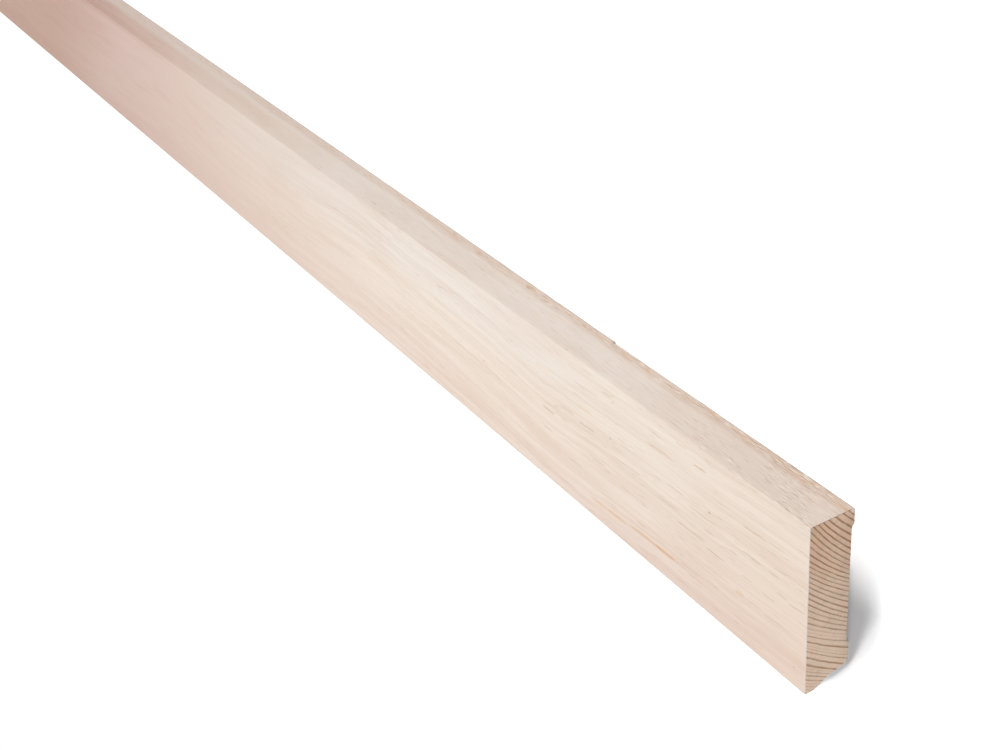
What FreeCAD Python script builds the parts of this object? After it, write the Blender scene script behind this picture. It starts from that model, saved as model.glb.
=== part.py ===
import FreeCAD, Part
import math
import os

# One length of skirting board in millimetres, lying on its back with its face up.
# X runs along the board, Y from the foot to the top edge, Z from the back to the face.
# The origin is under the middle of the board, level with the lands of the back.

# Overall size
LENGTH = 2400.0
HEIGHT = 56.0
THICKNESS = 15.0

# Edges: the eased arris beside the face, the two round corners of the back, and the
# front corner of the foot, which is only just broken
FACE_ARRIS_RADIUS = 0.5
TOP_BACK_RADIUS = 0.5
HEEL_RADIUS = 1.5
TOE_RADIUS = 0.2

# Foot: a flat strip behind the face, then an underside that rises in a bevel and on in a
# gentler slope to the heel, so that the face meets the floor first
FOOT_WIDTH = 3.2
FOOT_BEVEL_WIDTH = 5.4
FOOT_BEVEL_ANGLE = 27.0
HEEL_SLOPE_ANGLE = 15.0
KNEE_RADIUS = 6.0

# Back: a shallow hollow along the board, between a land at the top and one at the heel,
# so that the board sits tight against an uneven wall
HOLLOW_DEPTH = 0.8
TOP_LAND_DEPTH = 5.1
TOP_SHOULDER_ANGLE = 45.0
HEEL_LAND_HEIGHT = 11.0
HEEL_SHOULDER_ANGLE = 30.0
SHOULDER_RADIUS = 0.4


def slope_rise(across, angle):
    """How far a slope of this angle climbs over a distance across."""
    return across * math.tan(math.radians(angle))


def slope_run(climb, angle):
    """How far across a slope of this angle goes for a climb."""
    return climb / math.tan(math.radians(angle))


def rounded_outline(corners):
    """Closed wire through (y, z, radius) corners, with a tangent arc at each of them."""
    points = [FreeCAD.Vector(0, y, z) for y, z, radius in corners]
    arcs = []
    for i, (y, z, radius) in enumerate(corners):
        corner = points[i]
        to_last = (points[i - 1] - corner).normalize()
        to_next = (points[(i + 1) % len(points)] - corner).normalize()
        half_angle = to_last.getAngle(to_next) / 2
        tangent_length = radius / math.tan(half_angle)
        inward = (to_last + to_next).normalize()
        middle = corner + inward * (radius / math.sin(half_angle) - radius)
        start = corner + to_last * tangent_length
        end = corner + to_next * tangent_length
        arcs.append((start, middle, end))
    edges = []
    for i, (start, middle, end) in enumerate(arcs):
        last_end = arcs[i - 1][2]
        edges.append(Part.LineSegment(last_end, start).toShape())
        edges.append(Part.Arc(start, middle, end).toShape())
    return Part.Wire(edges)


def board_section():
    """Section of the board across its length, from the toe round by the top to the heel."""
    foot = -HEIGHT / 2
    top = HEIGHT / 2
    knee_depth = THICKNESS - FOOT_WIDTH - FOOT_BEVEL_WIDTH
    knee = foot + slope_rise(FOOT_BEVEL_WIDTH, FOOT_BEVEL_ANGLE)
    heel = knee + slope_rise(knee_depth, HEEL_SLOPE_ANGLE)
    top_shoulder = top - TOP_LAND_DEPTH
    heel_shoulder = foot + HEEL_LAND_HEIGHT
    hollow_top = top_shoulder - slope_run(HOLLOW_DEPTH, TOP_SHOULDER_ANGLE)
    hollow_bottom = heel_shoulder + slope_run(HOLLOW_DEPTH, HEEL_SHOULDER_ANGLE)
    corners = [
        (foot, THICKNESS, TOE_RADIUS),
        (top, THICKNESS, FACE_ARRIS_RADIUS),
        (top, 0, TOP_BACK_RADIUS),
        (top_shoulder, 0, SHOULDER_RADIUS),
        (hollow_top, HOLLOW_DEPTH, SHOULDER_RADIUS),
        (hollow_bottom, HOLLOW_DEPTH, SHOULDER_RADIUS),
        (heel_shoulder, 0, SHOULDER_RADIUS),
        (heel, 0, HEEL_RADIUS),
        (knee, knee_depth, KNEE_RADIUS),
        (foot, THICKNESS - FOOT_WIDTH, SHOULDER_RADIUS),
    ]
    return Part.Face(rounded_outline(corners))


def skirting_board():
    """The planed section run along the whole length and sawn square at both ends."""
    section = board_section()
    section.translate(FreeCAD.Vector(-LENGTH / 2, 0, 0))
    return section.extrude(FreeCAD.Vector(LENGTH, 0, 0))


os.makedirs("parts", exist_ok=True)
skirting_board().exportStep("parts/skirting_board.step")
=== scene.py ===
import math

import bpy
import numpy as np
from mathutils import Matrix, Vector


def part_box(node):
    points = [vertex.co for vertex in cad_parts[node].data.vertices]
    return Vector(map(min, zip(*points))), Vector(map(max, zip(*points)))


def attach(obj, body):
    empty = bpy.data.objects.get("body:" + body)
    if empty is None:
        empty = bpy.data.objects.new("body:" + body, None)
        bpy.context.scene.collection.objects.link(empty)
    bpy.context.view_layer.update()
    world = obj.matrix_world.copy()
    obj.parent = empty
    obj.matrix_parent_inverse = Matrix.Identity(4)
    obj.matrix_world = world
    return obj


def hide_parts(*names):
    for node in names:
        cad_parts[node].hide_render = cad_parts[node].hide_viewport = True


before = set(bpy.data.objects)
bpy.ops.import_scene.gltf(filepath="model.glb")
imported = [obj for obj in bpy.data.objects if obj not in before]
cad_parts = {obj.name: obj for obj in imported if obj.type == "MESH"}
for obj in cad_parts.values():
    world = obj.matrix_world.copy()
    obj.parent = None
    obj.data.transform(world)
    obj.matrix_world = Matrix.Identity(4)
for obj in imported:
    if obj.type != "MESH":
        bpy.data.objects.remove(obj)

# One length of whitewashed pine skirting board, lying on its back with its face up.
# X runs along the board, Y from the foot to the top edge, Z from the back to the face.
# Lengths below are in millimetres unless a line says otherwise, and "near" is always the
# distance from the board's right-hand end.
MM = 0.001
TURN = 2 * math.pi
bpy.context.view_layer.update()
low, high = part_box("skirting_board")
LENGTH = (high.x - low.x) / MM
HEIGHT = (high.y - low.y) / MM
THICKNESS = (high.z - low.z) / MM
RIGHT_END = high.x / MM
LEFT_END = low.x / MM
FOOT = low.y / MM
TOP = high.y / MM

# The planed section
FACE_ARRIS_RADIUS = 0.5
TOP_BACK_RADIUS = 0.5
HEEL_RADIUS = 1.5
TOE_RADIUS = 0.2
FOOT_WIDTH = 3.2
FOOT_BEVEL_WIDTH = 5.4
FOOT_BEVEL_ANGLE = 27.0
HEEL_SLOPE_ANGLE = 15.0
KNEE_RADIUS = 6.0
HOLLOW_DEPTH = 0.8
TOP_LAND_DEPTH = 5.1
TOP_SHOULDER_ANGLE = 45.0
HEEL_LAND_HEIGHT = 11.0
HEEL_SHOULDER_ANGLE = 30.0
SHOULDER_RADIUS = 0.4
KNEE_DEPTH = THICKNESS - FOOT_WIDTH - FOOT_BEVEL_WIDTH
KNEE = FOOT + FOOT_BEVEL_WIDTH * math.tan(math.radians(FOOT_BEVEL_ANGLE))
HEEL = KNEE + KNEE_DEPTH * math.tan(math.radians(HEEL_SLOPE_ANGLE))

# How finely the section is divided
CORNER_STEPS = 5
OUTLINE_STEPS = 24
ROW_STEP = 0.47
CLOSEST_ROWS = 0.05
COLUMNS = 30

# How finely the length is divided: close together near the two ends and at the splinter
FIRST_STATIONS = (0.0, 0.25, 0.6, 1.2)
NEAR_STEP = 2.0
NEAR_REACH = 150.0
STEP_GROWTH = 1.06
FAR_STEP = 16.0
FAR_END_REACH = 60.0
LAST_STATIONS = (36.0, 20.0, 11.0, 6.0, 3.0, 1.4, 0.7, 0.3, 0.0)
CHIP_STATIONS = (-2.0, -1.2, -0.7, -0.35, 0.0, 0.35, 0.7, 1.2, 2.0)
CHIP_CLEARANCE = 2.2

# Where a splinter has come off the top edge's back corner, and the dent where it broke off
CHIP_PLACE = 107.0
CHIP_REACH = 1.5
SPLINTER_DEPTH = 0.33
SPLINTER_TAPER = 1.3
BREAK_LENGTH = 0.7
DENT_PLACE = 106.2
DENT_DEPTH = 0.3
DENT_LENGTH = 0.7
DENT_FROM_BACK = 0.6
DENT_REACH = 0.6

# Wear of the long corners: each corner, how far round it the wear reaches, how deep it
# gets, and the length of its waves along the board
CORNER_WEAR = (
    (TOP, THICKNESS, 0.7, 0.06, 24.0),
    (TOP, 0.0, 0.7, 0.06, 31.0),
    (FOOT, THICKNESS, 0.5, 0.05, 18.0),
    (HEEL, 0.0, 1.2, 0.07, 40.0),
)
WEAR_SEED = 56

# How deep the planed early wood and the sawn end lie, and how far apart the saw's marks are
PLANED_RELIEF = 0.02
TORN_RELIEF = 0.05
SAW_MARK_DEPTH = 0.02
SAW_MARK_SPACING = 1.9
SAW_MARK_UP = 0.95
SAW_MARK_BACK = 0.31
SAW_MARK_SWAY = 0.4

# The flattened copy of the board's surface: the sides fill its lower part, and the two ends
# lie next to each other above them
SIDE_SHARE = 0.85
END_LEFT = 0.01
END_PITCH = 0.5
END_WIDTH = 0.48
END_LOW = 0.865
END_TALL = 0.125
SHARP_ANGLE = 50.0

# The tree: where its heart was, seen from the board's right-hand end, and how each year
# grew from there outwards, as (growth, darkness of its late wood)
HEART_HEIGHT = 74.3
HEART_DEPTH = -50.7
FIRST_YEAR = 64.9
YEARS = (
    (1.4, 0.60), (1.5, 0.70), (1.4, 0.75), (1.5, 0.80), (1.4, 0.95), (1.9, 0.95), (1.6, 0.90),
    (1.5, 0.95), (1.4, 0.90), (1.4, 0.95), (1.5, 0.70), (1.3, 0.80), (1.3, 0.80), (1.3, 0.90),
    (1.3, 0.90), (1.0, 0.75), (1.2, 0.70), (1.2, 0.95), (1.4, 0.65), (1.2, 1.00), (1.7, 0.90),
    (1.4, 0.95), (1.4, 0.95), (1.3, 0.62), (1.4, 0.80), (1.5, 0.88), (1.2, 0.30), (0.9, 0.20),
    (1.1, 0.80), (1.9, 0.92), (1.1, 0.10), (0.7, 0.60), (1.1, 0.85), (1.9, 0.92), (2.0, 0.98),
    (0.7, 0.12), (0.7, 0.75), (1.1, 0.80), (1.2, 0.70), (1.0, 0.25), (0.9, 0.50), (1.1, 0.35),
    (1.3, 0.35), (1.4, 0.40), (1.3, 0.40), (1.5, 0.40),
)
YEAR_LINES = FIRST_YEAR + np.cumsum([0.0] + [growth for growth, darkness in YEARS])
YEAR_DARKNESS = np.array([YEARS[0][1]] + [darkness for growth, darkness in YEARS])
OUTER_YEAR = YEAR_LINES[-1]

# Late wood of a year: where it starts, how soon it is full, and how sharply it ends
LATE_START = 0.6
LATE_RISE = 0.3
LATE_FALL = 0.05

# The rings aren't quite round: their lean through the thickness comes and goes outwards
RING_LEAN = 0.7
RING_LEAN_PLACE = 88.0
RING_LEAN_WAVE = 15.0

# The grain climbs and falls a little along the board: (height, length of the wave, start)
GRAIN_WAVES = ((1.65, 230.0, 0.0), (0.5, 91.0, 0.7), (0.9, 870.0, 2.2))


class Value:
    """A number that varies over a surface. Arithmetic on it adds Math nodes."""

    def __init__(self, finish, socket):
        self.finish = finish
        self.socket = socket

    def math(self, operation, *others, clamp=False):
        settings = {"operation": operation, "use_clamp": clamp}
        return self.finish.node("ShaderNodeMath", settings, dict(enumerate((self, *others))))

    def __add__(self, other):
        return self.math("ADD", other)

    def __radd__(self, other):
        return self.math("ADD", other)

    def __sub__(self, other):
        return self.math("SUBTRACT", other)

    def __rsub__(self, other):
        settings = {"operation": "SUBTRACT"}
        return self.finish.node("ShaderNodeMath", settings, {0: other, 1: self})

    def __mul__(self, other):
        return self.math("MULTIPLY", other)

    def __rmul__(self, other):
        return self.math("MULTIPLY", other)

    def __truediv__(self, other):
        return self.math("DIVIDE", other)


class Finish:
    """The nodes that one material, or the world, is made of."""

    def __init__(self, tree):
        self.tree = tree
        tree.nodes.clear()

    def node(self, kind, settings=None, sockets=None, output=0):
        """Adds a node: its settings first, then a value or a link for each socket named."""
        node = self.tree.nodes.new(kind)
        for name, setting in (settings or {}).items():
            if name == "curve":
                points = node.mapping.curves[0].points
                for x, y in setting[1:-1]:
                    points.new(x, y)
                points[0].location = setting[0]
                points[len(points) - 1].location = setting[-1]
                for point in points:
                    point.handle_type = "VECTOR"
                node.mapping.update()
            else:
                setattr(node, name, setting)
        for name, value in (sockets or {}).items():
            if isinstance(value, Value):
                self.tree.links.new(value.socket, node.inputs[name])
            else:
                node.inputs[name].default_value = value
        if output is None:
            return None
        if isinstance(output, tuple):
            return [Value(self, node.outputs[name]) for name in output]
        return Value(self, node.outputs[output])


def new_material(name):
    """An empty material and the finish to fill it with."""
    material = bpy.data.materials.new(name)
    material.use_nodes = True
    return material, Finish(material.node_tree)


def cosine(angle):
    """Cosine of a number, an array of numbers or a value that varies over a surface."""
    return angle.math("COSINE") if isinstance(angle, Value) else np.cos(angle)


def square_root(number):
    """Square root of a number, an array of numbers or a value that varies over a surface."""
    return number.math("SQRT") if isinstance(number, Value) else np.sqrt(number)


def grain_climb(near):
    """How far the grain has climbed towards the top edge, at a distance from the right end."""
    climb = -sum(height * math.cos(start) for height, wave, start in GRAIN_WAVES)
    for height, wave, start in GRAIN_WAVES:
        climb = climb + height * cosine(near * (TURN / wave) + start)
    return climb


def heart_distance(height, depth):
    """How far a point of the straightened grain is from the heart of the tree."""
    up = HEART_HEIGHT - height
    back = depth - HEART_DEPTH
    straight = square_root(up * up + back * back)
    lean = (depth - THICKNESS / 2) / THICKNESS
    return straight - RING_LEAN * lean * cosine((straight - RING_LEAN_PLACE) * (TURN / RING_LEAN_WAVE))


# The section, as the back and the front of the board at each height

def rounded_corner(corners, index, steps):
    """Points round one corner of the section."""
    corner = np.array(corners[index][:2])
    radius = corners[index][2]
    to_last = np.array(corners[index - 1][:2]) - corner
    to_next = np.array(corners[(index + 1) % len(corners)][:2]) - corner
    to_last = to_last / np.linalg.norm(to_last)
    to_next = to_next / np.linalg.norm(to_next)
    half_angle = math.acos(to_last @ to_next) / 2
    inward = (to_last + to_next) / np.linalg.norm(to_last + to_next)
    centre = corner + inward * radius / math.sin(half_angle)
    start = corner + to_last * radius / math.tan(half_angle) - centre
    end = corner + to_next * radius / math.tan(half_angle) - centre
    sweep = math.atan2(start[0] * end[1] - start[1] * end[0], start @ end)
    points = []
    for step in range(steps + 1):
        turn = sweep * step / steps
        across = start[0] * math.cos(turn) - start[1] * math.sin(turn)
        up = start[0] * math.sin(turn) + start[1] * math.cos(turn)
        points.append((centre[0] + across, centre[1] + up))
    return points


def section_sides(steps):
    """The front and the back of the section, each as (height, depth) points from foot to top."""
    top_shoulder = TOP - TOP_LAND_DEPTH
    heel_shoulder = FOOT + HEEL_LAND_HEIGHT
    hollow_top = top_shoulder - HOLLOW_DEPTH / math.tan(math.radians(TOP_SHOULDER_ANGLE))
    hollow_bottom = heel_shoulder + HOLLOW_DEPTH / math.tan(math.radians(HEEL_SHOULDER_ANGLE))
    corners = [
        (FOOT, THICKNESS, TOE_RADIUS),
        (TOP, THICKNESS, FACE_ARRIS_RADIUS),
        (TOP, 0.0, TOP_BACK_RADIUS),
        (top_shoulder, 0.0, SHOULDER_RADIUS),
        (hollow_top, HOLLOW_DEPTH, SHOULDER_RADIUS),
        (hollow_bottom, HOLLOW_DEPTH, SHOULDER_RADIUS),
        (heel_shoulder, 0.0, SHOULDER_RADIUS),
        (HEEL, 0.0, HEEL_RADIUS),
        (KNEE, KNEE_DEPTH, KNEE_RADIUS),
        (FOOT, THICKNESS - FOOT_WIDTH, SHOULDER_RADIUS),
    ]
    rounds = [rounded_corner(corners, index, steps) for index in range(len(corners))]
    front = np.array(rounds[0] + rounds[1])
    back = np.array([point for corner in rounds[2:] for point in corner])[::-1]
    return front, back


def row_heights():
    """Heights at which the section is divided: close at its corners, even in between."""
    front, back = section_sides(CORNER_STEPS)
    corners = np.unique(np.concatenate([front[:, 0], back[:, 0]]).round(4))
    kept = [corners[0]]
    for height in corners[1:]:
        if height - kept[-1] > CLOSEST_ROWS:
            kept.append(height)
    kept[-1] = corners[-1]
    rows = [kept[0]]
    for height in kept[1:]:
        parts = max(1, math.ceil((height - rows[-1]) / ROW_STEP - 1e-9))
        rows.extend(np.linspace(rows[-1], height, parts + 1)[1:])
    return np.array(rows)


def stations():
    """Places along the board at which the section stands, close together near its ends."""
    steps = list(FIRST_STATIONS)
    while steps[-1] < NEAR_REACH:
        steps.append(steps[-1] + NEAR_STEP)
    step = NEAR_STEP
    while steps[-1] < LENGTH - FAR_END_REACH:
        step = min(step * STEP_GROWTH, FAR_STEP)
        steps.append(steps[-1] + step)
    tail = [LENGTH - place for place in LAST_STATIONS]
    chip = [CHIP_PLACE + offset for offset in CHIP_STATIONS]
    near = [place for place in steps if abs(place - CHIP_PLACE) > CHIP_CLEARANCE]
    return RIGHT_END - np.array(sorted(near + chip + tail))


front_side, back_side = section_sides(OUTLINE_STEPS)
rows = row_heights()
front_depth = np.interp(rows, front_side[:, 0], front_side[:, 1])
back_depth = np.interp(rows, back_side[:, 0], back_side[:, 1])
places = stations()
columns = np.linspace(0.0, 1.0, COLUMNS + 1)
last_row = len(rows) - 1
grid_height = np.repeat(rows[:, None], COLUMNS + 1, 1)
grid_depth = back_depth[:, None] + (front_depth - back_depth)[:, None] * columns[None, :]

# The way round the section: along the foot, up the face, back over the top, down the back
loop = [(0, column) for column in range(COLUMNS + 1)]
loop += [(row, COLUMNS) for row in range(1, last_row + 1)]
loop += [(last_row, column) for column in range(COLUMNS - 1, -1, -1)]
loop += [(row, 0) for row in range(last_row - 1, 0, -1)]
loop_row = np.array([row for row, column in loop])
loop_column = np.array([column for row, column in loop])
loop_size = len(loop)
loop_height = grid_height[loop_row, loop_column]
loop_depth = grid_depth[loop_row, loop_column]


def outward(height, depth):
    """Directions square to the section's outline, out of the wood."""
    along_height = np.roll(height, -1) - np.roll(height, 1)
    along_depth = np.roll(depth, -1) - np.roll(depth, 1)
    size = np.hypot(along_height, along_depth)
    return -along_depth / size, along_height / size


out_height, out_depth = outward(loop_height, loop_depth)

chance = np.random.default_rng(WEAR_SEED)


def uneven(place, wave, height):
    """A smooth uneven number between 0 and height along the board."""
    total = np.zeros_like(place)
    for part in range(1, 6):
        length = wave / (0.6 + 0.7 * part)
        total += np.sin(place * TURN / length + chance.uniform(0, TURN)) / part
    return height * (0.5 + 0.5 * np.tanh(total))


def late_wood(height, depth, near):
    """How far a point is into the dense late wood of its year, 0 to 1."""
    distance = heart_distance(height - grain_climb(near), depth)
    year = np.interp(distance, YEAR_LINES, np.arange(len(YEAR_LINES)))
    share = year - np.floor(year)
    darkness = np.interp(distance, YEAR_LINES, YEAR_DARKNESS)
    rise = np.clip((share - LATE_START) / LATE_RISE, 0, 1)
    fall = np.clip((1.0 - share) / LATE_FALL, 0, 1)
    return rise * fall * darkness


def corner_nearness(height, depth, corner_height, corner_depth, reach):
    """1 at a corner of the section, falling softly away from it."""
    distance = np.hypot(height - corner_height, depth - corner_depth)
    return np.exp(-(distance / reach) ** 2)


near = RIGHT_END - places
wear = np.zeros((len(places), loop_size))
for corner_height, corner_depth, reach, amount, wave in CORNER_WEAR:
    closeness = corner_nearness(loop_height, loop_depth, corner_height, corner_depth, reach)
    wear += uneven(near, wave, amount)[:, None] * closeness[None, :]
splinter = SPLINTER_DEPTH * np.clip(near / CHIP_PLACE, 0, 1) ** SPLINTER_TAPER
splinter *= np.clip((CHIP_PLACE - near) / BREAK_LENGTH, 0, 1)
closeness = corner_nearness(loop_height, loop_depth, TOP, 0.0, CHIP_REACH)
wear += splinter[:, None] * closeness[None, :]
dent = DENT_DEPTH * np.exp(-((near - DENT_PLACE) / DENT_LENGTH) ** 2)
closeness = corner_nearness(loop_height, loop_depth, TOP, DENT_FROM_BACK, DENT_REACH)
wear += dent[:, None] * closeness[None, :]
late = late_wood(loop_height[None, :], loop_depth[None, :], near[:, None])
wear += PLANED_RELIEF * (1 - late)

height = loop_height[None, :] - wear * out_height[None, :]
depth = loop_depth[None, :] - wear * out_depth[None, :]


def sawn_relief(height, depth, near):
    """How deep the saw went into the end: its marks, and early wood torn out between years."""
    late = late_wood(height, depth, near)
    across_marks = height * SAW_MARK_UP + depth * SAW_MARK_BACK
    sway = SAW_MARK_SWAY * np.sin(height)
    marks = 0.5 + 0.5 * np.sin(across_marks * TURN / SAW_MARK_SPACING + sway)
    return TORN_RELIEF * (1 - late) + SAW_MARK_DEPTH * marks


# Vertices: the right end's grid, the left end's grid, then a loop at each station between
end_size = grid_height.size
side_start = 2 * end_size
points = []
for end, inward in ((0, -1.0), (len(places) - 1, 1.0)):
    cut = sawn_relief(grid_height, grid_depth, near[end])
    end_height = grid_height.copy()
    end_depth = grid_depth.copy()
    end_height[loop_row, loop_column] = height[end]
    end_depth[loop_row, loop_column] = depth[end]
    across = places[end] + inward * cut
    points.append(np.stack([across, end_height, end_depth], -1).reshape(-1, 3))
middle = slice(1, len(places) - 1)
across = np.repeat(places[middle, None], loop_size, 1)
points.append(np.stack([across, height[middle], depth[middle]], -1).reshape(-1, 3))
points = np.concatenate(points) * MM


def loop_points(station):
    """Numbers of the vertices round the section at a station."""
    on_grid = loop_row * (COLUMNS + 1) + loop_column
    if station == 0:
        return on_grid
    if station == len(places) - 1:
        return end_size + on_grid
    return side_start + (station - 1) * loop_size + np.arange(loop_size)


# Faces, where each lies on the flattened board, and which material it has
faces = []
flat = []
slots = []
round_way = np.hypot(np.roll(loop_height, -1) - loop_height, np.roll(loop_depth, -1) - loop_depth)
round_place = np.concatenate([[0.0], np.cumsum(round_way)])
side_v = round_place / round_place[-1] * SIDE_SHARE
for station in range(len(places) - 1):
    here = loop_points(station)
    there = loop_points(station + 1)
    quads = np.stack([here, np.roll(here, -1), np.roll(there, -1), there], -1)
    u_here = (places[station] - LEFT_END) / LENGTH
    u_there = (places[station + 1] - LEFT_END) / LENGTH
    v_first = side_v[:-1]
    v_second = side_v[1:]
    corners = np.stack([
        np.stack([np.full(loop_size, u_here), v_first], -1),
        np.stack([np.full(loop_size, u_here), v_second], -1),
        np.stack([np.full(loop_size, u_there), v_second], -1),
        np.stack([np.full(loop_size, u_there), v_first], -1),
    ], 1)
    faces.append(quads)
    flat.append(corners)
    slots.append(np.zeros(loop_size, int))
for end in (0, 1):
    number = np.arange(end_size).reshape(grid_height.shape) + end * end_size
    quads = np.stack([number[:-1, :-1], number[1:, :-1], number[1:, 1:], number[:-1, 1:]], -1)
    u = END_LEFT + END_PITCH * end + (grid_height - FOOT) / HEIGHT * END_WIDTH
    v = END_LOW + grid_depth / THICKNESS * END_TALL
    uv = np.stack([u, v], -1)
    corners = np.stack([uv[:-1, :-1], uv[1:, :-1], uv[1:, 1:], uv[:-1, 1:]], 2)
    if end == 1:
        quads = quads[..., ::-1]
        corners = corners[:, :, ::-1]
    faces.append(quads.reshape(-1, 4))
    flat.append(corners.reshape(-1, 4, 2))
    slots.append(np.ones(quads.size // 4, int))
faces = np.concatenate(faces)
flat = np.concatenate(flat)
slots = np.concatenate(slots)

mesh = bpy.data.meshes.new("skirting_board_dressed")
mesh.from_pydata(points.tolist(), [], faces.tolist())
mesh.polygons.foreach_set("material_index", slots)
layer = mesh.uv_layers.new(name="OFBake")
layer.data.foreach_set("uv", flat.reshape(-1).astype(np.float32))
mesh.shade_smooth()
mesh.set_sharp_from_angle(angle=math.radians(SHARP_ANGLE))
mesh.update()
board = bpy.data.objects.new("skirting_board_dressed", mesh)
bpy.context.scene.collection.objects.link(board)

# Materials. Patterns are uneven numbers about 0.5. A name in capitals with a pair of numbers
# says where something starts and where it is full; the second may be the lower.
WOOD_IOR = 1.45
STROKE_EDGE = (1.3, 0.6)
SPOT_EDGE = (1.2, 0.4)
SEED_SPREAD = 7.3


def smooth(value, start, end):
    """0 at start, 1 at end, smooth between them and level beyond; end may be the lower."""
    settings = {"interpolation_type": "SMOOTHSTEP"}
    sockets = {"Value": value, "From Min": start, "From Max": end, "To Min": 0.0, "To Max": 1.0}
    return value.finish.node("ShaderNodeMapRange", settings, sockets)


def blend(share, first, second):
    """The first colour where share is 0, the second where it is 1."""
    finish = share.finish
    return finish.node("ShaderNodeMix", {"data_type": "RGBA"}, {0: share, 6: first, 7: second}, 2)


def darken(share, colour, tint):
    """A colour multiplied by a tint, as far as share says."""
    settings = {"data_type": "RGBA", "blend_type": "MULTIPLY"}
    return share.finish.node("ShaderNodeMix", settings, {0: share, 6: colour, 7: tint}, 2)


def noise(finish, place, detail):
    """An uneven number about 0.5 at a place, given as sockets X, Y and Z."""
    vector = finish.node("ShaderNodeCombineXYZ", None, place)
    sockets = {"Vector": vector, "Scale": 1.0, "Detail": detail, "Roughness": 0.5}
    return finish.node("ShaderNodeTexNoise", None, sockets, "Fac")


def streaks(near, height, depth, pattern):
    """A pattern drawn out along the grain."""
    length, width, seed, detail = pattern
    place = {"X": near / length + SEED_SPREAD * seed, "Y": height / width + seed, "Z": depth / width}
    return noise(near.finish, place, detail)


def round_heart(distance, angle, pattern):
    """A pattern that follows the rays and the years about the heart of the tree."""
    outwards, round_it, detail = pattern
    return noise(distance.finish, {"X": distance / outwards, "Y": angle * round_it}, detail)


def stroke(near, level, start, end, height, thickness):
    """1 on a stroke along the grain that thins out towards its two ends."""
    off = (near - (start + end) / 2) / ((end - start) / 2)
    off = off * off
    rise = (level - height) / (thickness / 2)
    return smooth(off * off + rise * rise, *STROKE_EDGE)


def spot(across, up, width, tall):
    """1 on a soft round spot, for distances across and up from its middle."""
    across = across / (width / 2)
    up = up / (tall / 2)
    return smooth(across * across + up * up, *SPOT_EDGE)


def board_place(finish):
    """Distance from the right end, height and depth of a point of the board."""
    place = finish.node("ShaderNodeTexCoord", output="Object")
    x, y, z = finish.node("ShaderNodeSeparateXYZ", None, {0: place}, ("X", "Y", "Z"))
    return RIGHT_END - x / MM, y / MM, z / MM


def years_of(distance):
    """For a distance from the heart: how far through its year a point is, and how dark
    that year's late wood is."""
    span = OUTER_YEAR - FIRST_YEAR
    finish = distance.finish
    place = (distance - FIRST_YEAR) / span
    count = len(YEARS)
    lines = (YEAR_LINES - FIRST_YEAR) / span
    years = [(line, number / count) for number, line in enumerate(lines)]
    darkness = list(zip(lines, YEAR_DARKNESS))
    year = finish.node("ShaderNodeFloatCurve", {"curve": years}, {"Value": place}) * count
    dark = finish.node("ShaderNodeFloatCurve", {"curve": darkness}, {"Value": place})
    return year.math("FRACT"), dark


def coat(finish, colour, rough, bump):
    """The shader of a wooden surface, and the way out of its material."""
    sockets = {"Base Color": colour, "Roughness": rough, "Normal": bump, "IOR": WOOD_IOR}
    shader = finish.node("ShaderNodeBsdfPrincipled", None, sockets, "BSDF")
    finish.node("ShaderNodeOutputMaterial", None, {"Surface": shader}, None)


# Whitewashed pine: colours as they look in full light
FACE_CREAM = (0.950, 0.852, 0.748, 1.0)
FACE_FOOT_CREAM = (0.930, 0.795, 0.692, 1.0)
EDGE_GREY = (0.854, 0.758, 0.684, 1.0)
EDGE_BACK_BEIGE = (0.792, 0.673, 0.591, 1.0)
EDGE_CREAM = (0.960, 0.880, 0.790, 1.0)
BARE_PINE = (0.760, 0.570, 0.400, 1.0)

# Tints that darken those colours
FACE_FOOT_PINK = (0.975, 0.955, 0.965, 1.0)
FACE_NEAR_TINT = (0.980, 0.965, 0.940, 1.0)
FACE_SHADY_TINT = (0.945, 0.942, 0.942, 1.0)
FACE_UNLIT_SHADE_TINT = (0.984, 0.962, 0.956, 1.0)
FACE_HIGH_TINT = (0.977, 0.986, 1.015, 1.0)
FACE_FAR_TINT = (0.983, 0.967, 0.952, 1.0)
EDGE_NEAR_TINT = (0.974, 0.961, 0.953, 1.0)
EDGE_UNLIT_SHADE_TINT = (0.966, 0.943, 0.922, 1.0)
EDGE_FAR_TINT = (0.965, 0.955, 0.930, 1.0)
EDGE_TAN_TINT = (0.995, 0.975, 0.945, 1.0)
EDGE_OCHRE = (0.970, 0.910, 0.850, 1.0)
EDGE_AMBER = (0.950, 0.820, 0.660, 1.0)
EDGE_FIBRE_TINT = (0.955, 0.940, 0.925, 1.0)
# Painted shade for the rounded arris between face and top edge
ARRIS_PAINTED_SHADE = (0.950, 0.940, 0.930, 1.0)
ARRIS_STREAK_TINT = (0.930, 0.885, 0.870, 1.0)
BACK_CORNER_TINT = (0.860, 0.855, 0.870, 1.0)
BAND_TINT = (0.955, 0.925, 0.895, 1.0)
WASH_TINT = (0.960, 0.940, 0.925, 1.0)
CLOUD_TINT = (0.975, 0.950, 0.935, 1.0)
FIBRE_TINT = (0.965, 0.950, 0.940, 1.0)
# Rosier, darker tints: partly the wood's own tone, partly painted shade where light falls off along
# the board
ROSY = (0.935, 0.790, 0.800, 1.0)
FAR_ROSY = (0.875, 0.790, 0.735, 1.0)
DASH_GREY = (0.76, 0.70, 0.66, 1.0)
DASH_BROWN = (0.68, 0.57, 0.47, 1.0)
RESIN_ORANGE = (0.93, 0.70, 0.50, 1.0)
RESIN_OCHRE = (0.96, 0.86, 0.70, 1.0)
SPECK_RED = (0.80, 0.60, 0.55, 1.0)
# Torn wood with painted shade, for the dent
TORN_WOOD_AND_SHADE = (0.42, 0.35, 0.31, 1.0)
PINE_LATE_TINT = (0.66, 0.50, 0.36, 1.0)
PINE_FIBRE_TINT = (0.90, 0.86, 0.80, 1.0)
PINE_CLOUD_TINT = (0.95, 0.92, 0.88, 1.0)

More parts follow.
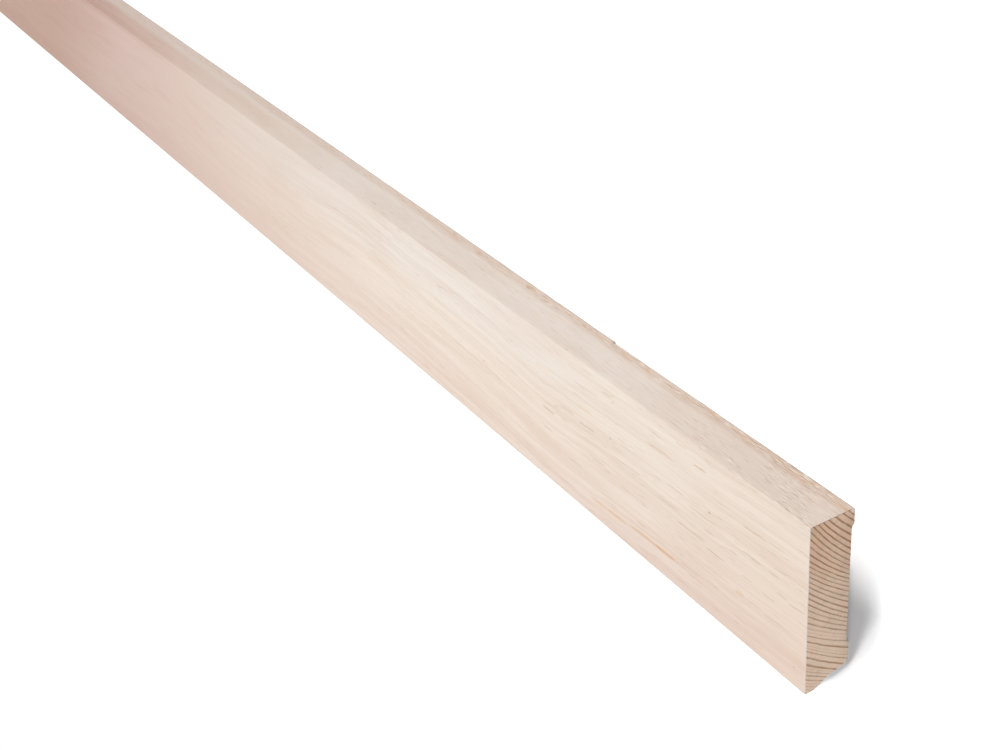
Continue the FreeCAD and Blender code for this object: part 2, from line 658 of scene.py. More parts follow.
# Patterns on the planed sides: (length, width, seed, detail)
WAVER = (30.0, 12.0, 1.0, 1.0)
RIPPLE = (9.0, 3.0, 12.0, 1.0)
JAG = (1.6, 1.0, 13.0, 1.0)
CLOUD = (45.0, 6.0, 3.0, 3.0)
PATCH = (60.0, 5.0, 2.0, 2.0)
FIBRE = (26.0, 0.38, 6.0, 3.0)
WASH = (70.0, 2.4, 19.0, 1.0)
THIN_DASHES = (9.0, 0.34, 4.0, 1.0)
THICK_DASHES = (13.0, 0.50, 5.0, 1.0)
EDGE_GROUPS = (10.0, 4.5, 14.0, 1.0)
EDGE_SHORT_STREAKS = (4.5, 0.25, 15.0, 1.0)
EDGE_LONE_STREAKS = (6.0, 0.30, 16.0, 1.0)
EDGE_BLOTS = (9.0, 1.4, 17.0, 2.0)
EDGE_AMBER_STREAKS = (8.0, 0.55, 18.0, 2.0)
EDGE_FIBRES = (9.0, 0.45, 21.0, 2.0)
STAIN_SPRAY = (18.0, 2.5, 7.0, 3.0)

# How far these shift the grain
WAVER_SHIFT = 1.2
RIPPLE_SHIFT = 1.0
JAG_SHIFT = 0.45

# Marks on the face: where each starts and ends from the right end, its height above the
# foot there, its thickness and its strength
ORANGE_STREAKS = (
    (58.0, 67.5, 9.2, 1.3, 0.85), (64.0, 80.5, 8.9, 0.9, 0.75), (82.5, 92.5, 7.8, 1.1, 0.75),
    (90.0, 103.0, 7.4, 0.6, 0.6), (57.0, 71.0, 44.7, 0.4, 0.8),
)
OCHRE_STREAKS = (
    (42.5, 49.0, 49.2, 0.6, 0.8), (15.5, 27.0, 41.6, 0.7, 0.6), (26.0, 30.0, 16.8, 1.2, 0.7),
    (99.0, 108.0, 38.8, 1.3, 0.5), (122.0, 131.0, 43.0, 0.9, 0.6), (7.0, 17.0, 16.5, 0.7, 0.4),
    (84.0, 102.0, 6.8, 1.6, 0.35),
)
GRAIN_DASHES = (
    (43.5, 57.0, 24.6, 0.42, 0.9), (34.5, 43.0, 23.6, 0.40, 0.7), (43.0, 48.5, 49.0, 0.32, 0.9),
    (51.5, 56.5, 52.2, 0.36, 0.7), (58.0, 70.0, 44.6, 0.26, 0.6), (16.5, 26.5, 41.2, 0.32, 0.7),
    (98.0, 106.5, 33.1, 0.42, 0.8), (109.5, 117.5, 34.0, 0.36, 0.7),
    (121.0, 128.0, 28.3, 0.55, 0.8), (95.0, 109.0, 47.1, 0.34, 0.5), (88.0, 93.0, 51.1, 0.34, 0.7),
    (74.0, 87.5, 30.4, 0.34, 0.7), (57.5, 66.0, 28.3, 0.36, 0.7), (38.0, 51.0, 33.5, 0.32, 0.6),
    (53.0, 61.0, 35.4, 0.34, 0.6), (29.0, 35.0, 28.9, 0.34, 0.6), (13.0, 18.5, 23.6, 0.34, 0.6),
    (1.0, 7.5, 27.2, 0.34, 0.6), (123.0, 128.0, 20.9, 0.46, 0.7), (64.0, 85.0, 21.0, 0.30, 0.4),
    (11.0, 16.0, 32.6, 0.34, 0.6), (23.0, 27.0, 32.6, 0.34, 0.5), (39.0, 43.7, 29.7, 0.36, 0.7),
    (22.5, 27.0, 23.9, 0.32, 0.6), (64.0, 67.5, 34.7, 0.34, 0.6), (93.0, 100.0, 23.2, 0.36, 0.6),
    (106.0, 114.0, 15.7, 0.36, 0.5), (33.0, 46.0, 17.2, 0.30, 0.6), (9.0, 18.0, 16.6, 0.28, 0.5),
    (8.0, 12.5, 27.9, 0.32, 0.6), (28.7, 32.5, 29.4, 0.34, 0.6), (35.6, 38.0, 37.2, 0.34, 0.6),
    (82.5, 89.0, 30.0, 0.34, 0.6), (66.0, 80.0, 8.3, 0.30, 0.45),
)
# Specks on the face: place from the right end, height above the foot, width, height
RED_SPECK = (41.4, 36.5, 1.2, 0.8)
GREY_SPECKS = (
    (89.6, 35.6, 1.2, 0.9), (87.5, 51.7, 0.9, 0.7), (87.5, 49.5, 0.9, 0.7), (4.7, 6.6, 0.8, 0.6),
)

# Where the top edge, the back and the face begin, at their corners
TOP_EDGE_HEIGHTS = (TOP - 0.45, TOP - 0.08)
BACK_DEPTHS = (0.9, 0.2)
FACE_DEPTHS = (THICKNESS - 0.5, THICKNESS - 0.1)

# How far from the right end the fine marks stay clear, and where the wood is rosier
MARKS_CLEAR = (420.0, 160.0)
ROSY_IN = (290.0, 545.0)
ROSY_OUT = (715.0, 1500.0)
FAR_ROSY_IN = (528.0, 650.0)
FAR_ROSY_SLANT = 37.0


class PlanedPlace:
    """Where a point of the planed sides lies, and how the grain and the stain run there."""

    def __init__(self, finish):
        near, height, depth = board_place(finish)
        waver = streaks(near, height, depth, WAVER)
        ripple = streaks(near, height, depth, RIPPLE)
        jag = streaks(near, height, depth, JAG)
        straight = height - grain_climb(near) + WAVER_SHIFT * (waver - 0.5)
        straight = straight + RIPPLE_SHIFT * (ripple - 0.5)
        self.near = near
        self.height = height
        self.depth = depth
        self.ripple = ripple
        self.straight = straight
        self.fine = straight + JAG_SHIFT * (jag - 0.5)
        self.share, self.dark = years_of(heart_distance(straight, depth))
        self.on_top = smooth(height, *TOP_EDGE_HEIGHTS)
        self.on_back = smooth(depth, *BACK_DEPTHS)
        self.on_face = smooth(depth, *FACE_DEPTHS)
        self.cloud = streaks(near, straight, depth, CLOUD)
        self.patch = streaks(near, straight, depth, PATCH)
        self.fibre = streaks(near, straight, depth, FIBRE)
        self.clear = 0.3 + 0.7 * smooth(near, *MARKS_CLEAR)
        self.past_rosy = smooth(near, *ROSY_OUT)


# Stretches of the face painted lighter or darker along the board, as painted light and shade
PALE_IN = (60.0, 190.0)
PALE_OUT = (560.0, 260.0)
FACE_NEAR_STRETCH = (36.0, 4.0)
FACE_LIT_IN = (38.0, 66.0)
FACE_LIT_OUT = (290.0, 215.0)
FACE_HIGH_IN = (80.0, 150.0)
FACE_HIGH_OUT = (420.0, 340.0)
FACE_FAR_STRETCH = (270.0, 330.0)
FACE_FAR_TOP_STRETCH = (430.0, 500.0)

# Heights between which the face's tones change
FACE_CREAM_HEIGHTS = (TOP - 6.0, FOOT + 4.0)
FACE_PINK_HEIGHTS = (FOOT + 12.0, FOOT + 8.0)
FACE_MIDDLE_HEIGHTS = (TOP - 8.0, TOP - 20.0)
FACE_HIGH_HEIGHTS = (TOP - 24.0, TOP - 12.0)
ROSY_HEIGHTS = (FOOT + 8.0, TOP - 8.0)


def stained_face(place):
    """The stain on the face, from cream at the top to a little pinker and darker at the foot. The
    darker foot and the cooler upper face are partly the stain's own tone and partly painted shade and
    painted light, standing in for light that falls from the top edge's side.
    """
    near = place.near
    height = place.height
    face = blend(smooth(height, *FACE_CREAM_HEIGHTS), FACE_CREAM, FACE_FOOT_CREAM)
    # Painted light on a pale stretch of the face, and painted shade outside it
    pale = smooth(near, *PALE_IN) * smooth(near, *PALE_OUT)
    clouded = place.straight + 3.0 * (place.cloud - 0.5)
    pink = smooth(clouded, *FACE_PINK_HEIGHTS) * (1.0 - 0.6 * pale)
    face = darken(pink, face, FACE_FOOT_PINK)
    middle_share = smooth(height, *FACE_MIDDLE_HEIGHTS)
    face = darken(middle_share * smooth(near, *FACE_NEAR_STRETCH), face, FACE_NEAR_TINT)
    face = darken(1.0 - pale, face, FACE_SHADY_TINT)
    # Painted light on a lit stretch; the face outside it gets painted shade
    lit = smooth(near, *FACE_LIT_IN) * smooth(near, *FACE_LIT_OUT)
    face = darken(1.0 - lit, face, FACE_UNLIT_SHADE_TINT)
    # Cooler on the upper face: partly painted light
    upper = smooth(height, *FACE_HIGH_HEIGHTS)
    upper = upper * smooth(near, *FACE_HIGH_IN) * smooth(near, *FACE_HIGH_OUT)
    return darken(upper, face, FACE_HIGH_TINT)


# Stretches of the top edge, and depths from the back, between which its tones change
BACK_STRIP_STRETCH = (480.0, 330.0)
BACK_STRIP_DEPTHS = (4.8, 3.2)
EDGE_NEAR_STRETCH = (58.0, 36.0)
# Where the top edge's painted light lies, and where it is dimmed
EDGE_LIT_IN = (62.0, 95.0)
EDGE_LIT_OUT = (310.0, 265.0)
EDGE_DIM_PLACE = 203.0
EDGE_DIM_REACH = 2200.0
EDGE_FAR_STRETCH = (420.0, 500.0)
EDGE_FAR_DEPTHS = (5.0, 8.0)
EDGE_TAN_STRETCH = (270.0, 330.0)
EDGE_TAN_DEPTHS = (5.5, 8.5)


def stained_edge(place):
    """The stain on the top edge, greyer than the face and browner along its back."""
    near = place.near
    depth = place.depth
    back_strip = smooth(depth + 5.0 * (place.cloud - 0.5), *BACK_STRIP_DEPTHS)
    edge = blend(back_strip * smooth(near, *BACK_STRIP_STRETCH), EDGE_GREY, EDGE_BACK_BEIGE)
    edge = darken(smooth(near, *EDGE_NEAR_STRETCH), edge, EDGE_NEAR_TINT)
    # Painted light on a lit stretch of the top edge, dimmed about its middle; outside it the edge gets
    # painted shade
    dim = near - EDGE_DIM_PLACE
    lit = smooth(near, *EDGE_LIT_IN) * smooth(near, *EDGE_LIT_OUT)
    lit = lit * (0.5 + 0.5 * smooth(dim * dim, 0.0, EDGE_DIM_REACH))
    edge = darken(1.0 - lit, edge, EDGE_UNLIT_SHADE_TINT)
    far = smooth(near, *EDGE_FAR_STRETCH) * smooth(depth, *EDGE_FAR_DEPTHS)
    edge = darken(far, edge, EDGE_FAR_TINT)
    tan = smooth(near, *EDGE_TAN_STRETCH) * smooth(depth, *EDGE_TAN_DEPTHS)
    return darken(tan, edge, EDGE_TAN_TINT)


# The eased corners of the top edge, measured slantwise across each
ARRIS_REACH = (TOP + THICKNESS - 0.80, TOP + THICKNESS - 0.45)
BACK_CORNER_REACH = (TOP - 0.9, TOP - 0.4)


def stain_unevenness(place, colour):
    """A soft band for each year, washes and clouds along the grain, a greyer back corner, and painted
    shade on the arris.
    """
    # Painted shade on the rounded arris, which damps its highlight
    arris = smooth(place.height + place.depth, *ARRIS_REACH)
    colour = darken(arris, colour, ARRIS_PAINTED_SHADE)
    back_corner = smooth(place.height - place.depth, *BACK_CORNER_REACH)
    colour = darken(back_corner, colour, BACK_CORNER_TINT)
    band = smooth(place.share, 0.15, 0.85) * smooth(place.share, 1.0, 0.88)
    band = band * smooth(place.patch, 0.36, 0.60) * (1.0 - 0.8 * place.on_top)
    colour = darken(band * place.clear * 0.5, colour, BAND_TINT)
    wash = smooth(streaks(place.near, place.straight, place.depth, WASH), 0.42, 0.60)
    colour = darken(wash * place.clear * (1.0 - 0.6 * place.on_top), colour, WASH_TINT)
    return darken(smooth(place.cloud, 0.50, 0.70), colour, CLOUD_TINT)


DASH_CROWD_STRETCH = (420.0, 120.0)


def dash_marks(place):
    """Short dashes where the stain has run off the hard grain, fewer away from the right end."""
    near = place.near
    crowd = 0.15 + 0.85 * smooth(near, *DASH_CROWD_STRETCH)
    crowd = crowd * (0.4 + 0.6 * smooth(place.patch, 0.42, 0.55)) * (1.0 - place.on_top)
    thin = smooth(streaks(near, place.fine, place.depth, THIN_DASHES), 0.67, 0.715) * 0.8
    thick = smooth(streaks(near, place.fine, place.depth, THICK_DASHES), 0.715, 0.76) * 0.8
    dashes = thin.math("MAXIMUM", thick) * crowd
    level = place.fine - FOOT
    for start, end, rise, thickness, strength in GRAIN_DASHES:
        rise = rise - float(grain_climb((start + end) / 2))
        mark = stroke(near, level, start, end, rise, thickness) * strength
        dashes = dashes.math("MAXIMUM", mark * place.on_face)
    return dashes


# The top edge's fine streaks, crowded at its right end and along its back
EDGE_CROWD_STRETCH = (60.0, 42.0)
EDGE_BACK_STRETCH = (260.0, 120.0)
EDGE_BACK_DEPTHS = (4.2, 2.6)
EDGE_AMBER_STRETCH = (270.0, 190.0)
EDGE_AMBER_DEPTHS = (0.6, 1.6)
EDGE_STREAK_SLANT = 0.02
EDGE_STREAK_RIPPLE = 0.35


def edge_streaks(place, colour):
    """The top edge's streaks over its colour, and how dark they are."""
    near = place.near
    height = place.height
    depth = place.depth
    on_top = place.on_top
    at_end = smooth(near, *EDGE_CROWD_STRETCH)
    at_back = smooth(depth + 3.0 * (place.cloud - 0.5), *EDGE_BACK_DEPTHS)
    at_back = at_back * (0.45 + 0.55 * smooth(near, *EDGE_BACK_STRETCH))
    slanted = depth + EDGE_STREAK_SLANT * near + EDGE_STREAK_RIPPLE * (place.ripple - 0.5)
    group = smooth(streaks(near, height, depth, EDGE_GROUPS), 0.40, 0.54)
    crowd = at_end.math("MAXIMUM", at_back) * group * on_top
    short = streaks(near, height, slanted, EDGE_SHORT_STREAKS)
    lone = smooth(streaks(near, height, slanted, EDGE_LONE_STREAKS), 0.71, 0.76) * on_top
    dark = (smooth(short, 0.59, 0.63) * crowd).math("MAXIMUM", lone)
    light = smooth(short, 0.40, 0.35) * crowd
    blot = smooth(streaks(near, height, depth, EDGE_BLOTS), 0.50, 0.64)
    amber = smooth(streaks(near, height, slanted, EDGE_AMBER_STREAKS), 0.55, 0.63)
    fibre = smooth(streaks(near, height, slanted, EDGE_FIBRES), 0.42, 0.60)
    colour = darken(fibre * place.clear * on_top * 0.7, colour, EDGE_FIBRE_TINT)
    colour = darken(blot * at_back * on_top, colour, EDGE_OCHRE)
    amber = amber * smooth(depth, *EDGE_AMBER_DEPTHS) * smooth(near, *EDGE_AMBER_STRETCH)
    colour = darken(amber * (0.25 + 0.75 * at_back) * on_top, colour, EDGE_AMBER)
    colour = darken(dark * (0.75 + 0.25 * at_back), colour, DASH_BROWN)
    colour = blend(light * (0.55 + 0.35 * at_back), colour, EDGE_CREAM)
    return colour, dark


# The dark spot in the dent, torn wood with painted shade in the recess: depth from the back, width,
# height
DENT_SHADED_SPOT = (0.5, 2.6, 1.0)


def resin_and_specks(place, colour):
    """Resin streaks and specks on the face, and the dent darkened as torn wood with painted shade."""
    near = place.near
    level = place.fine - FOOT
    above_foot = place.height - FOOT
    ragged = 0.35 + 0.65 * smooth(place.fibre, 0.36, 0.56)
    for tint, streaks_of_tint in ((RESIN_ORANGE, ORANGE_STREAKS), (RESIN_OCHRE, OCHRE_STREAKS)):
        for start, end, rise, thickness, strength in streaks_of_tint:
            rise = rise - float(grain_climb((start + end) / 2))
            mark = stroke(near, level, start, end, rise, thickness)
            colour = darken(mark * ragged * place.on_face * strength, colour, tint)
    along, rise, width, tall = RED_SPECK
    red = spot(near - along, above_foot - rise, width, tall)
    colour = darken(red * place.on_face, colour, SPECK_RED)
    for along, rise, width, tall in GREY_SPECKS:
        speck = spot(near - along, above_foot - rise, width, tall)
        colour = darken(speck * place.on_face * 0.8, colour, DASH_GREY)
    from_back, width, tall = DENT_SHADED_SPOT
    # Torn wood in the dent, darkened further as painted shade in the recess
    torn_and_shaded = spot(near - DENT_PLACE, place.depth - from_back, width, tall)
    return darken(torn_and_shaded * place.on_top, colour, TORN_WOOD_AND_SHADE)


# Where the rosier wood keeps off the back of the top edge, and the streak beside its arris
EDGE_ROSY_DEPTHS = (9.0, 5.0)
ARRIS_STREAK_REACH = (4.2, 2.2)
ARRIS_STREAK_HEIGHTS = (TOP - 3.5, TOP - 1.5)
ARRIS_STREAK_STRETCH = (430.0, 510.0)


def rosy_stretch(place, colour):
    """The wood runs rosier and darker for a stretch away from the right end. This is partly the wood's
    own tone and partly painted shade, standing in for light that falls off along the board.
    """
    near = place.near
    rosy = smooth(near, *ROSY_IN) * (1.0 - 0.75 * place.past_rosy)
    rise = smooth(place.height, *ROSY_HEIGHTS)
    far_top = 0.7 * rise * smooth(near, *FACE_FAR_TOP_STRETCH)
    face_far = smooth(near, *FACE_FAR_STRETCH) * (1.0 - far_top)
    colour = darken(face_far * (1.0 - place.on_top), colour, FACE_FAR_TINT)
    off_edge = 1.0 - 0.75 * place.on_top * smooth(place.depth, *EDGE_ROSY_DEPTHS)
    rosy = (rosy * (0.62 + 0.43 * rise)).math("MINIMUM", 1.0)
    colour = darken(rosy * off_edge, colour, ROSY)
    far_rosy = smooth(near + FAR_ROSY_SLANT * rise, *FAR_ROSY_IN) * (1.0 - place.past_rosy)
    colour = darken(far_rosy * off_edge, colour, FAR_ROSY)
    from_arris = THICKNESS - place.depth + 3.0 * (place.cloud - 0.5)
    streak = smooth(from_arris, *ARRIS_STREAK_REACH) * smooth(place.height, *ARRIS_STREAK_HEIGHTS)
    streak = streak * smooth(near, *ARRIS_STREAK_STRETCH) * (1.0 - place.past_rosy)
    return darken(streak, colour, ARRIS_STREAK_TINT)


# How far the stain has run round the top back corner and under the toe
STAIN_PAST_TOP = (1.0, 3.4)
STAIN_PAST_TOE = (0.5, 2.2)
FOOT_HEIGHTS = (FOOT + 0.9, FOOT + 0.1)
UNDERSIDE_DEPTHS = (THICKNESS - 2.0, THICKNESS - 4.0)
UNDERSIDE_HEIGHTS = (FOOT + 6.0, FOOT + 5.0)


def bare_pine(place, colour):
    """Bare pine on the lands of the back, under the heel and on the foot, with stain run over its
    edges; the back's hollow keeps the stain.
    """
    spray = streaks(place.near, place.height, place.depth, STAIN_SPRAY)
    past_top = TOP - place.height + 6.0 * (spray - 0.5)
    past_toe = THICKNESS - place.depth + 4.0 * (spray - 0.5)
    back = place.on_back * smooth(past_top, *STAIN_PAST_TOP)
    foot = smooth(place.height, *FOOT_HEIGHTS) * smooth(past_toe, *STAIN_PAST_TOE)
    under = smooth(place.depth, *UNDERSIDE_DEPTHS) * smooth(place.height, *UNDERSIDE_HEIGHTS)
    bare = back.math("MAXIMUM", foot).math("MAXIMUM", under)
    late = smooth(place.share, 0.45, 0.85) * smooth(place.share, 1.0, 0.94) * place.dark
    wood = darken(late, BARE_PINE, PINE_LATE_TINT)
    wood = darken(smooth(place.fibre, 0.40, 0.75) * 0.6, wood, PINE_FIBRE_TINT)
    wood = darken(smooth(place.cloud, 0.45, 0.7), wood, PINE_CLOUD_TINT)
    return blend(bare, colour, wood)


# The relief of the planed fibres, with its depth in metres
SIDE_BUMP = {"Strength": 0.3, "Distance": 0.00004}


def whitewashed_sides():
    """Planed pine under a thin white stain on its face, top edge and the hollow of its back, bare on
    the lands of its back, under the heel and on the foot.
    """
    material, finish = new_material("whitewashed_pine_sides")
    place = PlanedPlace(finish)
    colour = blend(place.on_top, stained_face(place), stained_edge(place))
    colour = stain_unevenness(place, colour)
    dashes = dash_marks(place)
    fibres = smooth(place.fibre, 0.44, 0.60) * place.clear * (1.0 - place.on_top) * 0.8
    colour = darken(fibres, colour, FIBRE_TINT)
    dash_colour = blend(smooth(place.cloud, 0.42, 0.6), DASH_GREY, DASH_BROWN)
    colour = darken(dashes * 0.92, colour, dash_colour)
    colour, edge_dark = edge_streaks(place, colour)
    colour = resin_and_specks(place, colour)
    colour = rosy_stretch(place, colour)
    colour = bare_pine(place, colour)
    rough = 0.58 + 0.16 * place.fibre + 0.1 * dashes
    relief = place.fibre * 0.4 - dashes - edge_dark
    bump = finish.node("ShaderNodeBump", None, {**SIDE_BUMP, "Height": relief})
    coat(finish, colour, rough, bump)
    return material


# The sawn end: colours as they look in full light, and tints that darken them
END_EARLY_TOP = (0.850, 0.625, 0.475, 1.0)
END_EARLY_FOOT = (0.966, 0.757, 0.592, 1.0)
END_LATE = (0.370, 0.165, 0.075, 1.0)
END_LATE_FOOT = (0.500, 0.300, 0.180, 1.0)
END_RAY_TINT = (0.90, 0.87, 0.84, 1.0)
END_PATCH_TINT = (0.94, 0.93, 0.92, 1.0)
END_COOL_TINT = (0.950, 0.975, 0.975, 1.0)
END_ROSY_TINT = (1.000, 0.965, 0.945, 1.0)
END_SPECKLE_TINT = (0.84, 0.80, 0.76, 1.0)
# Painted shade towards the face of the end
END_FRONT_PAINTED_SHADE = (0.930, 0.915, 0.915, 1.0)
END_FRONT_TOP_TINT = (0.970, 0.935, 0.890, 1.0)
END_TOP_BURR = (0.62, 0.50, 0.42, 1.0)
END_CORNER_STAIN = (0.86, 0.75, 0.70, 1.0)
END_RIM = (0.90, 0.88, 0.87, 1.0)

# Patterns on the end: (length, width, seed, detail), and (outwards, round the heart, detail)
END_WAVER = (30.0, 3.0, 1.0, 2.0)
END_SPECKLE = (1.0, 0.35, 8.0, 3.0)
END_PATCH = (9.0, 5.0, 9.0, 2.0)
END_MOTTLE = (3.0, 2.2, 22.0, 2.0)
END_RAYS = (4.0, 260.0, 2.0)
END_ARCS = (1.3, 28.0, 1.0)

# Where the end's tones change, the burr and rim at its edges, and the size of the corner's stain
END_FOOT_HEIGHTS = (TOP - 2.0, FOOT + 18.0)
END_FRONT_DEPTHS = (4.0, 13.0)
END_FRONT_HEIGHTS = (TOP - 22.0, TOP - 10.0)
END_BURR_HEIGHTS = (TOP - 0.30, TOP - 0.12)
END_RIM_DEPTHS = (THICKNESS - 0.34, THICKNESS - 0.14)
END_CORNER_TALL = 1.6
END_CORNER_DEEP = 1.5
END_BUMP = {"Strength": 0.4, "Distance": 0.0001}


def sawn_end():
    """End grain as the saw left it, with the years showing as dark lines."""
    material, finish = new_material("sawn_pine_end")
    near, height, depth = board_place(finish)
    waver = streaks(near, height, depth, END_WAVER)
    straight = height - grain_climb(near) + 0.35 * (waver - 0.5)
    distance = heart_distance(straight, depth)
    share, dark = years_of(distance)
    angle = (HEART_HEIGHT - straight).math("ARCTAN2", depth - HEART_DEPTH)
    rays = round_heart(distance, angle, END_RAYS)
    arcs = round_heart(distance, angle, END_ARCS)
    speckle = streaks(near, height, depth, END_SPECKLE)
    patch = streaks(near, height, depth, END_PATCH)
    mottle = streaks(near, height, depth, END_MOTTLE)

    # Early wood, and the late wood of each year over it
    foot_share = smooth(height, *END_FOOT_HEIGHTS)
    early = blend(foot_share, END_EARLY_TOP, END_EARLY_FOOT)
    late_colour = blend(foot_share, END_LATE, END_LATE_FOOT)
    late = smooth(share, 0.56, 0.86) * smooth(share, 1.0, 0.95) * dark
    late = late * (0.35 + 1.3 * arcs)
    colour = darken(smooth(rays, 0.40, 0.70) * 0.6, early, END_RAY_TINT)
    colour = darken(smooth(patch, 0.45, 0.70), colour, END_PATCH_TINT)
    colour = darken(smooth(mottle, 0.48, 0.62), colour, END_COOL_TINT)
    colour = darken(smooth(mottle, 0.46, 0.36), colour, END_ROSY_TINT)
    colour = blend(late.math("MINIMUM", 1.0), colour, late_colour)
    colour = darken(smooth(speckle, 0.45, 0.75) * 0.6, colour, END_SPECKLE_TINT)

    # Darker towards the face: painted shade that leaves the back half lighter, making up for the dark
    # floor beside the end. Then a burr along the top, a stained corner and a stained rim
    front = smooth(depth, *END_FRONT_DEPTHS)
    colour = darken(front, colour, END_FRONT_PAINTED_SHADE)
    colour = darken(front * smooth(height, *END_FRONT_HEIGHTS), colour, END_FRONT_TOP_TINT)
    burr = smooth(height + 0.3 * (speckle - 0.5), *END_BURR_HEIGHTS)
    colour = darken(burr, colour, END_TOP_BURR)
    down = (TOP - height) / END_CORNER_TALL
    inward = depth / END_CORNER_DEEP
    corner = smooth(square_root(down * down + inward * inward) + 0.5 * (speckle - 0.5), 1.10, 0.80)
    colour = blend(corner * 0.9, colour, END_CORNER_STAIN)
    rim = smooth(depth + 0.3 * (speckle - 0.5), *END_RIM_DEPTHS)
    colour = blend(rim, colour, END_RIM)

    relief = speckle + rays * 0.5
    bump = finish.node("ShaderNodeBump", None, {**END_BUMP, "Height": relief})
    coat(finish, colour, 0.78 + 0.1 * speckle, bump)
    return material


mesh.materials.append(whitewashed_sides())
mesh.materials.append(sawn_end())

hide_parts("skirting_board")
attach(board, "root")


def seen_directly(finish):
    """1 where the camera sees a surface, straight or in a shine, and 0 where light does."""
    rays = ("Is Camera Ray", "Is Glossy Ray", "Is Transmission Ray")
    camera_ray, glossy, through = finish.node("ShaderNodeLightPath", output=rays)
    return camera_ray.math("MAXIMUM", glossy).math("MAXIMUM", through)


# Floor: plain white, with a painted shadow beside the right-hand end: there the glow is lowered and
# the paper darkened and cooled in a drawn shape, so that a shadow shows
FLOOR_SIZE = 30.0
PAPER_WHITE = (0.80, 0.80, 0.80, 1.0)
# Paper colour inside the painted shadow, darker and cooler than the white
PAPER_PAINTED_SHADOW = (0.71, 0.755, 0.81, 1.0)
PAPER_GLOW = 0.62
PAPER_GLOW_BEHIND = 0.16
GLOW_TINT = (0.985, 1.02, 1.045)

# How far the painted shadow reaches past the end and how soft it is there. Each pair gives a width at
# the middle of the board's height and its gain for each millimetre towards the top.
SHADE_SIDE = (10.4, 0.37)
SHADE_SIDE_LIMIT = 10.1
SHADE_SLANT = (19.3, 0.735)
SHADE_JOIN = 4.0
SHADE_SIDE_SOFT = (4.4, 0.16)
SHADE_TOP_SOFT = (5.5, 0.35)
SHADE_CRISPEST = 0.8
SHADE_SOFTEST = 6.5
SHADE_FADE = ((0.0, 1.0), (0.125, 0.90), (0.28, 0.62), (0.42, 0.35), (0.60, 0.25), (1.0, 0.0))
SHADE_FADE_SPAN = 3.2
SHADE_UNDER = 0.18

# Where the painted shadow stops: towards the top edge, below the foot, under the board, at its far
# end, and where the floor behind the board glows a little more, as painted light that keeps the gap
# under the hollow white
SHADE_TOP = (-5.5, 18.0)
SHADE_BOTTOM = (-41.0, -45.0)
SHADE_INSIDE = (0.8, -1.2)
SHADE_FAR_END = (1.0 - LENGTH, -9.0 - LENGTH)
BEHIND_END = (0.8, -0.6)
BEHIND_TOP = (7.0, 11.0)


def widening(up, width):
    """A width that grows with height."""
    at_middle, gain = width
    return at_middle + gain * up


bpy.ops.mesh.primitive_plane_add(size=FLOOR_SIZE, location=(0, 0, 0))
floor = bpy.context.object
floor.name = "studio_floor"
paper_material, paper = new_material("white_paper")
floor_place = paper.node("ShaderNodeTexCoord", output="Object")
x, y, z = paper.node("ShaderNodeSeparateXYZ", None, {0: floor_place}, output=("X", "Y", "Z"))
past_end = x / MM - RIGHT_END
up = y / MM
# The painted shadow: a drawn shape past the right-hand end that lowers the glow and darkens the paper
reach = widening(up, SHADE_SIDE).math("MINIMUM", SHADE_SIDE_LIMIT)
reach = reach.math("SMOOTH_MIN", widening(up, SHADE_SLANT), SHADE_JOIN)
softness = widening(up, SHADE_SIDE_SOFT).math("MAXIMUM", SHADE_CRISPEST)
softness = softness.math("MAXIMUM", widening(up, SHADE_TOP_SOFT)).math("MINIMUM", SHADE_SOFTEST)
fade_place = ((past_end - reach) / softness + 1.0).math("DIVIDE", SHADE_FADE_SPAN, clamp=True)
fade = paper.node("ShaderNodeFloatCurve", {"curve": SHADE_FADE}, {"Value": fade_place})
painted_shadow = fade * (1.0 - smooth(up, *SHADE_TOP)) * (1.0 - smooth(up, *SHADE_BOTTOM))
painted_shadow = painted_shadow * (1.0 - SHADE_UNDER * smooth(past_end, *SHADE_INSIDE))
painted_shadow = painted_shadow * (1.0 - smooth(past_end, *SHADE_FAR_END))
# Painted light: extra glow on the floor seen through the gap under the board's hollow
behind = smooth(past_end, *BEHIND_END) * smooth(up, *BEHIND_TOP)
glow = seen_directly(paper) * (PAPER_GLOW * (1.0 - painted_shadow) + PAPER_GLOW_BEHIND * behind)
glow_colour = paper.node("ShaderNodeVectorMath", {"operation": "SCALE"}, {0: GLOW_TINT, "Scale": glow})
paper_colour = blend(painted_shadow, PAPER_WHITE, PAPER_PAINTED_SHADOW)
shader = paper.node("ShaderNodeBsdfPrincipled", None, {
    "Base Color": paper_colour, "Roughness": 0.9, "Specular IOR Level": 0.0,
    "Emission Color": glow_colour, "Emission Strength": 1.0}, output="BSDF")
paper.node("ShaderNodeOutputMaterial", None, {"Surface": shader}, None)
floor.data.materials.append(paper_material)

# World: even light, and white where the camera looks past the floor
WHITE = (1.0, 1.0, 1.0, 1.0)
WORLD_LIGHT = 0.50
world = bpy.data.worlds.new("studio")
bpy.context.scene.world = world
world.use_nodes = True
studio = Finish(world.node_tree)
strength = WORLD_LIGHT + (1.0 - WORLD_LIGHT) * seen_directly(studio)
light = studio.node("ShaderNodeBackground", None, {"Color": WHITE, "Strength": strength})
studio.node("ShaderNodeOutputWorld", None, {"Surface": light}, None)

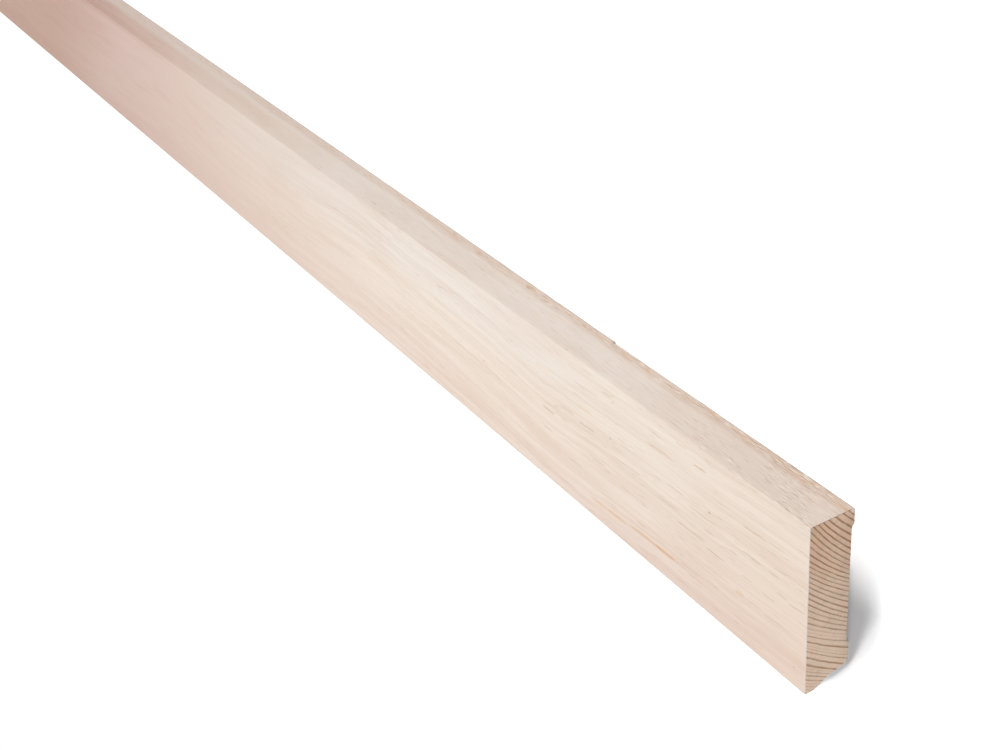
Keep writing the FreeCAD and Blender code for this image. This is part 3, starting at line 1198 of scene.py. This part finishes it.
# Soft spot lamps, in metres, degrees and watts: name, place on the board that the lamp
# stands off from, way to the lamp, distance, how far along the board from that place it
# aims, radius, cone, power
KEY_WAY = Vector((-0.6, 0.42, 0.70)).normalized()
FILL_WAY = Vector((0.8, 0.15, 0.58)).normalized()
LAMPS = (
    ("key", RIGHT_END * MM, KEY_WAY, 2.5, 0.86, 0.45, 65.0, 175.0),
    ("middle", -0.02, KEY_WAY, 2.5, 0.0, 0.2, 17.4, 85.0),
    ("far", -0.42, KEY_WAY, 2.5, -0.38, 0.2, 42.0, 120.0),
    ("fill", RIGHT_END * MM, FILL_WAY, 1.0, 0.0, 0.3, 80.0, 6.4),
)
for name, along, way, distance, aim_further, radius, cone, power in LAMPS:
    light = bpy.data.lights.new(name, "SPOT")
    light.energy = power
    light.shadow_soft_size = radius
    light.spot_size = math.radians(cone)
    light.spot_blend = 1.0
    lit_place = Vector((along, 0.0, THICKNESS * MM))
    aim = lit_place + Vector((aim_further, 0.0, 0.0))
    lamp = bpy.data.objects.new(name, light)
    lamp.location = lit_place + distance * way
    lamp.rotation_euler = (aim - lamp.location).to_track_quat("-Z", "Y").to_euler()
    bpy.context.scene.collection.objects.link(lamp)

# Camera, at the photograph's angle to the board, looking down on its face; in metres
CAMERA_LENS = 58.395
SENSOR_WIDTH = 36.0
NEAREST_SEEN = 0.01
CAMERA_PLACE = Vector((1.44928, 0.27897, 0.23718))
CAMERA_AHEAD = Vector((-0.74853, -0.51970, -0.41183))
CAMERA_UP = Vector((-0.41247, 0.85122, -0.32450))
camera = bpy.data.cameras.new("camera")
camera.lens = CAMERA_LENS
camera.sensor_width = SENSOR_WIDTH
camera.clip_start = NEAREST_SEEN
viewer = bpy.data.objects.new("camera", camera)
ahead = CAMERA_AHEAD.normalized()
right = ahead.cross(CAMERA_UP).normalized()
above = right.cross(ahead)
viewer.matrix_world = Matrix((
    (right.x, above.x, -ahead.x, CAMERA_PLACE.x),
    (right.y, above.y, -ahead.y, CAMERA_PLACE.y),
    (right.z, above.z, -ahead.z, CAMERA_PLACE.z),
    (0, 0, 0, 1),
))
bpy.context.scene.collection.objects.link(viewer)
bpy.context.scene.camera = viewer
bpy.context.scene.view_settings.view_transform = "Standard"
